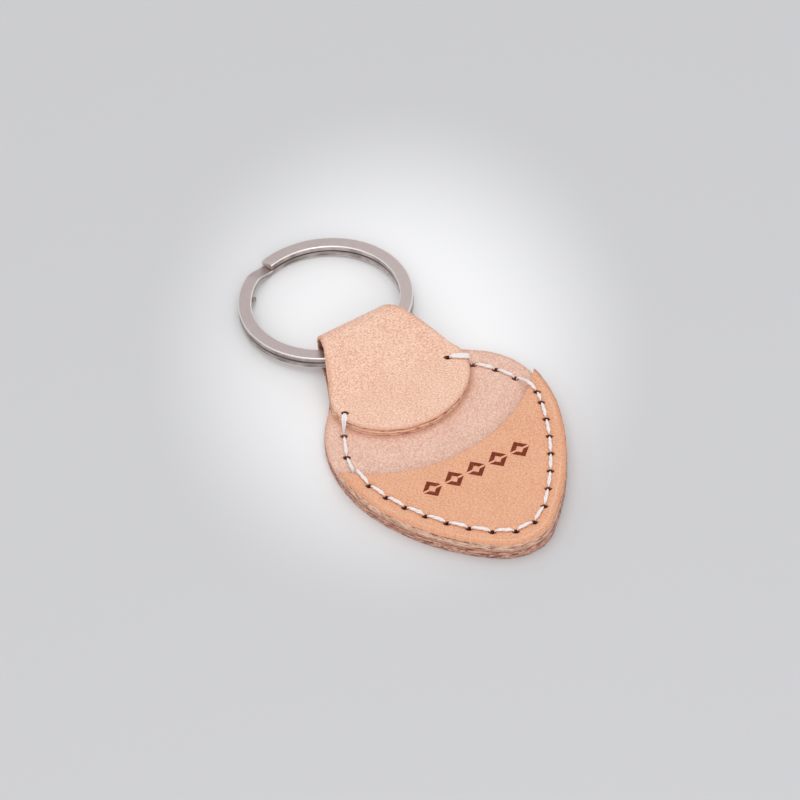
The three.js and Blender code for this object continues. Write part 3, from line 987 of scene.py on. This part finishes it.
def edge_colour(shader, tones):
    """Cut edge: fibre layers that run along it, with dark lines and stray pale fibres."""
    pale, dark, line = tones
    layers = shader.noise(1.3, 4.0, shader.stretched((1, 1, 4.5)), 0.6)
    tone = shader.mix(shader.ramp(layers, 0.4, 0.6), dark, pale)
    streaks = shader.noise(1.6, 3.0, shader.stretched((1, 1, 5.0), (0.06, 0, 0)), 0.8)
    tone = shader.mix(shader.times(shader.ramp(streaks, 0.53, 0.62), 0.9), tone, line)
    strays = shader.noise(0.8, 2.0, shader.stretched((1, 1, 3.0), (0, 0.2, 0)), 1.6)
    tone = shader.mix(shader.times(shader.ramp(strays, 0.6, 0.66), 0.65), tone, STRAY_FIBRE)
    return tone, layers


def darker_near(shader, tone, level, reach, shade, share=0.85):
    """Darkens a tone close to one height: dark lines on the tab's edge, and painted shadow where two layers
    of leather meet.
    """
    wave = shader.times(shader.noise(1.5, 2.0), SEAM_WAVE * MM)
    wavy = shader.math("ADD", shader.height(), wave)
    off = shader.math("ABSOLUTE", shader.math("SUBTRACT", wavy, (level + SEAM_WAVE / 2) * MM))
    return shader.mix(shader.ramp(off, 0.0, reach * MM, share, 0.0), tone, shade)


def hide_edge(shader):
    """The body's edge: red-brown along the panel and orange-brown along the tab above it, with painted
    shadow where the tab meets the panel.
    """
    panel, layers = edge_colour(shader, PANEL_EDGE_TONES)
    tab, _ = edge_colour(shader, TAB_EDGE_TONES)
    tab = darker_near(shader, tab, STACK - 0.28, 0.24, TAB_LINE, 0.7)
    tab = darker_near(shader, tab, HIDE + 0.75, 0.2, TAB_LINE, 0.6)
    on_tab = shader.ramp(shader.height(), (HIDE - 0.05) * MM, (HIDE + 0.15) * MM)
    tone = shader.mix(on_tab, panel, tab)
    return darker_near(shader, tone, HIDE, 0.42, LAYER_SHADOW), layers


def pocket_edge(shader):
    tone, layers = edge_colour(shader, POCKET_EDGE_TONES)
    # painted shadow along the foot of the pocket's edge, where it sits on the panel
    return darker_near(shader, tone, HIDE, 0.34, LAYER_SHADOW), layers


def leather_relief(shader, pebble, nap, layers, fibrous):
    """Height for the bump: pebbled on the grain side, and fibrous on the nap and the edges."""
    fine = shader.noise(0.12, 2.0)
    grain = shader.math("ADD", shader.times(pebble, -0.6), shader.times(fine, 0.5))
    soft = shader.math("ADD", shader.times(nap, 1.4), fine)
    return shader.mix(fibrous, grain, shader.math("ADD", soft, layers), "FLOAT")


def leather_material(name, tones, edge_look, face_look):
    """Leather that is grained outside, napped inside, and fibrous on its cut edges."""
    shader = Shader(name)
    edge = shader.attribute("edge")
    flesh = shader.attribute("flesh")
    grain, pebble = grain_colour(shader, tones)
    napped, nap = flesh_colour(shader)
    cut, layers = edge_look(shader)
    napped = shader.mix(shader.times(shader.attribute("tunnel"), 0.75), napped, TUNNEL_SHADE)
    tone = face_look(shader, shader.mix(flesh, grain, napped))
    tone = shader.mix(shader.ramp(edge, 0.25, 0.75), tone, cut)
    tone = shader.mix(shader.ramp(shader.attribute("slit"), 0.7, 1.4, 1.0, 0.0), tone, SLIT_SHADE)
    shader.set("Base Color", tone)
    rough = shader.ramp(shader.noise(0.6, 2.0), 0.3, 0.7, 0.52, 0.7)
    rough = shader.math("ADD", rough, shader.times(flesh, 0.3), clamp=True)
    rough = shader.math("ADD", rough, shader.times(edge, 0.2), clamp=True)
    shader.set("Roughness", rough)
    shader.set("Specular IOR Level", LEATHER_SPECULAR)
    shader.set("Sheen Weight", LEATHER_SHEEN)
    shader.set("Sheen Roughness", SHEEN_ROUGHNESS)
    fibrous = shader.math("MAXIMUM", flesh, edge)
    shader.bump(leather_relief(shader, pebble, nap, layers, fibrous), LEATHER_RELIEF)
    return shader.material


def rim_wear_and_shadow(shader, tone):
    """The hide's faces, a little darker along their cut edges: rubbed on the tab and strap, and painted
    shadow on the panel just below the tab's edge.
    """
    rim = shader.attribute("rim")
    return shader.mix(shader.ramp(rim, 0.1, 0.8, 0.42, 0.0), tone, HIDE_RIM_WEAR_AND_SHADOW)


def burnished(shader, tone):
    """The rubbed rim of the pocket, with a fine pale crease just inside it."""
    rim = shader.attribute("rim")
    tone = shader.mix(shader.ramp(rim, 0.35, 0.95, 0.4, 0.0), tone, POCKET_RIM)
    crease = shader.times(shader.ramp(rim, 0.8, 1.0), shader.ramp(rim, 1.0, 1.25, 1.0, 0.0))
    faint = shader.ramp(shader.noise(6.0, 2.0), 0.42, 0.62, 0.05, 0.34)
    return shader.mix(shader.times(crease, faint), tone, POCKET_CREASE)


def stamp_share(shader):
    """1 on the inked strokes of the stamped row and 0 off them."""
    place = shader.parts(shader.around(SHIFT[0] + MARK_X, SHIFT[1] + MARK_Y, MARK_TURN))
    row_length = MARK_PITCH * MARK_COUNT * MM
    shifted = shader.math("ADD", place["X"], row_length)
    cell = shader.math("PINGPONG", shifted, MARK_PITCH / 2 * MM)
    across = shader.math("DIVIDE", cell, MARK_WIDTH / 2 * MM)
    along = shader.math("DIVIDE", shader.math("ABSOLUTE", place["Y"]), MARK_HEIGHT / 2 * MM)
    size = shader.math("ADD", across, along)
    inside = shader.ramp(size, *MARK_INKED_RIM, 1.0, 0.0)
    stroke = shader.times(inside, shader.ramp(size, *MARK_INKED_HOLLOW))
    stroke = shader.times(stroke, shader.ramp(along, *MARK_GAP))
    in_row = shader.math("LESS_THAN", shader.math("ABSOLUTE", place["X"]), row_length / 2)
    upper = shader.math("GREATER_THAN", place["Z"], MARK_FOOT_Z * MM)
    return shader.times(shader.times(stroke, in_row), upper)


def stamped_pocket(shader, tone):
    """The pocket's faces, with a plain row of stamped lozenges."""
    worn = shader.ramp(shader.noise(0.3, 3.0), 0.25, 0.5, 0.82, 1.0)
    return shader.mix(shader.times(stamp_share(shader), worn), burnished(shader, tone), STAMP)


def thread_material():
    shader = Shader("twisted_thread")
    fibre = shader.noise(0.12, 3.0, shader.stretched((1, 1, 1), (0, 0, 0.5)), 1.0)
    tone = shader.mix(shader.ramp(fibre, 0.3, 0.7), THREAD_DARK, THREAD_PALE)
    # painted shade: the thread darkens where it lies below the leather's face, in the holes
    hole_shade = shader.ramp(shader.attribute("sunk"), -0.02, 0.3)
    shader.set("Base Color", shader.mix(hole_shade, tone, THREAD_HOLE_SHADE))
    shader.set("Roughness", 0.7)
    shader.set("Sheen Weight", 0.08)
    shader.set("Subsurface Weight", 0.1)
    shader.set("Subsurface Scale", THREAD_SCATTER * MM)
    shader.bump(fibre, THREAD_RELIEF)
    return shader.material


def ring_material():
    """Satin metal with painted highlights on its bevels, painted shade on the bevels where the turns meet,
    and painted shade on its walls, stronger in patches.
    """
    shader = Shader("satin_nickel")
    brushed = shader.noise(0.5, 3.0, shader.stretched((1, 1, 2)))
    tone = shader.mix(brushed, NICKEL_DARK, NICKEL_PALE)
    wall = shader.attribute("wall")
    bevel = shader.math("SUBTRACT", 1.0, shader.math("MAXIMUM", wall, shader.attribute("flat")))
    # painted highlight on the bevels
    tone = shader.mix(shader.times(bevel, 0.8), tone, NICKEL_BEVEL_HIGHLIGHT)
    # painted shade on the bevels beside the gap between the turns
    gap_shade = shader.times(bevel, shader.attribute("inner"))
    tone = shader.mix(shader.times(gap_shade, 0.75), tone, NICKEL_GAP_SHADE)
    # painted shade on the walls, stronger in patches
    wall_shade = shader.ramp(shader.noise(2.4, 2.0), 0.3, 0.7, 0.1, 0.75)
    shader.set("Base Color", shader.mix(shader.times(wall_shade, wall), tone, NICKEL_WALL_SHADE))
    shader.set("Metallic", 1.0)
    shader.set("Roughness", shader.ramp(brushed, 0.3, 0.7, 0.3, 0.38))
    shader.bump(shader.noise(0.1, 2.0), RING_RELIEF)
    return shader.material


# Stage --------------------------------------------------------------------------------

CAMERA_AZIMUTH = -29.81
CAMERA_ELEVATION = 47.77
CAMERA_ROLL = -3.08
CAMERA_DISTANCE = 800
CAMERA_LENS = 214.3
SENSOR_WIDTH = 36
NEAR_CLIP = 0.01
TARGET = (-0.572, 19.276, 0)


def camera():
    data = bpy.data.cameras.new("camera")
    data.lens = CAMERA_LENS
    data.sensor_width = SENSOR_WIDTH
    data.clip_start = NEAR_CLIP
    obj = bpy.data.objects.new("camera", data)
    bpy.context.scene.collection.objects.link(obj)
    azimuth = math.radians(CAMERA_AZIMUTH)
    elevation = math.radians(CAMERA_ELEVATION)
    level = math.cos(elevation)
    back = Vector((math.sin(azimuth) * level, -math.cos(azimuth) * level, math.sin(elevation)))
    right = (-back).cross(Vector((0, 0, 1))).normalized()
    up = right.cross(-back)
    roll = math.radians(CAMERA_ROLL)
    turned_right = math.cos(roll) * right + math.sin(roll) * up
    turned_up = math.cos(roll) * up - math.sin(roll) * right
    place = (Vector(TARGET) + Vector(SHIFT) + back * CAMERA_DISTANCE) * MM
    turn = Matrix((turned_right, turned_up, back)).transposed().to_4x4()
    obj.matrix_world = Matrix.Translation(place) @ turn
    bpy.context.scene.camera = obj


# where the painted pool of light on the floor lies and how far it reaches
FLOOR_CENTRE = (5.0, 11.4)
FLOOR_OVAL = 1.35
FLOOR_PALE_REACH = 12
FLOOR_FALL_REACH = 46
FLOOR_HALF = 3  # in metres


def floor():
    """A pale floor with a painted pool of light, lightest in an oval round the holder."""
    corners = [(x * FLOOR_HALF, y * FLOOR_HALF, 0) for x, y in ((-1, -1), (1, -1), (1, 1), (-1, 1))]
    mesh = mesh_from("floor", corners, [(0, 1, 2, 3)])
    obj = bpy.data.objects.new("floor", mesh)
    bpy.context.scene.collection.objects.link(obj)
    shader = Shader("pale_floor")
    distance = shader.tree.nodes.new("ShaderNodeVectorMath")
    distance.operation = "LENGTH"
    shader.link(shader.around(*FLOOR_CENTRE, CAMERA_AZIMUTH, (1, FLOOR_OVAL, 1)), distance.inputs[0])
    fall = shader.ramp(distance.outputs["Value"], FLOOR_PALE_REACH * MM, FLOOR_FALL_REACH * MM)
    # painted pool of light: pale near the holder, greyer further out
    shader.set("Base Color", shader.mix(fall, FLOOR_PAINTED_LIGHT, FLOOR_PAINTED_DIM))
    shader.set("Roughness", 0.9)
    shader.set("Specular IOR Level", 0.1)
    mesh.materials.append(shader.material)


def area_light(name, place, size, power):
    """A round light at a place in metres, facing the holder."""
    data = bpy.data.lights.new(name, "AREA")
    data.shape = "DISK"
    data.size = size
    data.energy = power
    obj = bpy.data.objects.new(name, data)
    bpy.context.scene.collection.objects.link(obj)
    obj.location = place
    obj.rotation_euler = (-Vector(place)).to_track_quat("-Z", "Y").to_euler()


WORLD_AT_HORIZON = 0.6
WORLD_OVERHEAD = 0.72
WORLD_COLOUR = (0.97, 0.975, 1, 1)


def world_light():
    """A plain studio: brighter overhead than at the horizon."""
    world = bpy.data.worlds.new("world")
    world.use_nodes = True
    tree = world.node_tree
    direction = tree.nodes.new("ShaderNodeTexCoord")
    split = tree.nodes.new("ShaderNodeSeparateXYZ")
    ramp = tree.nodes.new("ShaderNodeMapRange")
    tree.links.new(direction.outputs["Generated"], split.inputs[0])
    tree.links.new(split.outputs["Z"], ramp.inputs["Value"])
    ramp.inputs["To Min"].default_value = WORLD_AT_HORIZON
    ramp.inputs["To Max"].default_value = WORLD_OVERHEAD
    background = tree.nodes["Background"]
    background.inputs["Color"].default_value = WORLD_COLOUR
    tree.links.new(ramp.outputs["Result"], background.inputs["Strength"])
    bpy.context.scene.world = world


def lights():
    area_light("overhead", (0.0, 0.05, 0.7), size=0.8, power=1.5)
    area_light("front", (-0.25, -0.5, 0.4), size=0.5, power=1.1)
    area_light("glint", (0.3, 0.35, 0.35), size=0.15, power=0.06)
    world_light()
    bpy.context.scene.view_settings.view_transform = "Standard"


# Making -------------------------------------------------------------------------------

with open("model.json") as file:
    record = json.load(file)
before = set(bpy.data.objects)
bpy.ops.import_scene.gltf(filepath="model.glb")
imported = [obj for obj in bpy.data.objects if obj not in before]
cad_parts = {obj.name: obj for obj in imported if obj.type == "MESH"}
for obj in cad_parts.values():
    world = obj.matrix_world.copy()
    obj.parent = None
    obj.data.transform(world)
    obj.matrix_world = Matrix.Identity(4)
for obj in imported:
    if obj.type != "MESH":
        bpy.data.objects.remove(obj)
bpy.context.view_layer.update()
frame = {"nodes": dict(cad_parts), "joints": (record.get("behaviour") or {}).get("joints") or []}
SHIFT = plan_shift()

camera()
floor()
lights()

all_holes = seam_holes()
hide_look = leather_material("natural_leather", HIDE_TONES, hide_edge, rim_wear_and_shadow)
leather_body(all_holes).data.materials.append(hide_look)
pocket_look = leather_material("pocket_leather", POCKET_TONES, pocket_edge, stamped_pocket)
pocket(all_holes).data.materials.append(pocket_look)
thread_look = thread_material()
for piece in threads(all_holes):
    piece.data.materials.append(thread_look)
split_ring().data.materials.append(ring_material())
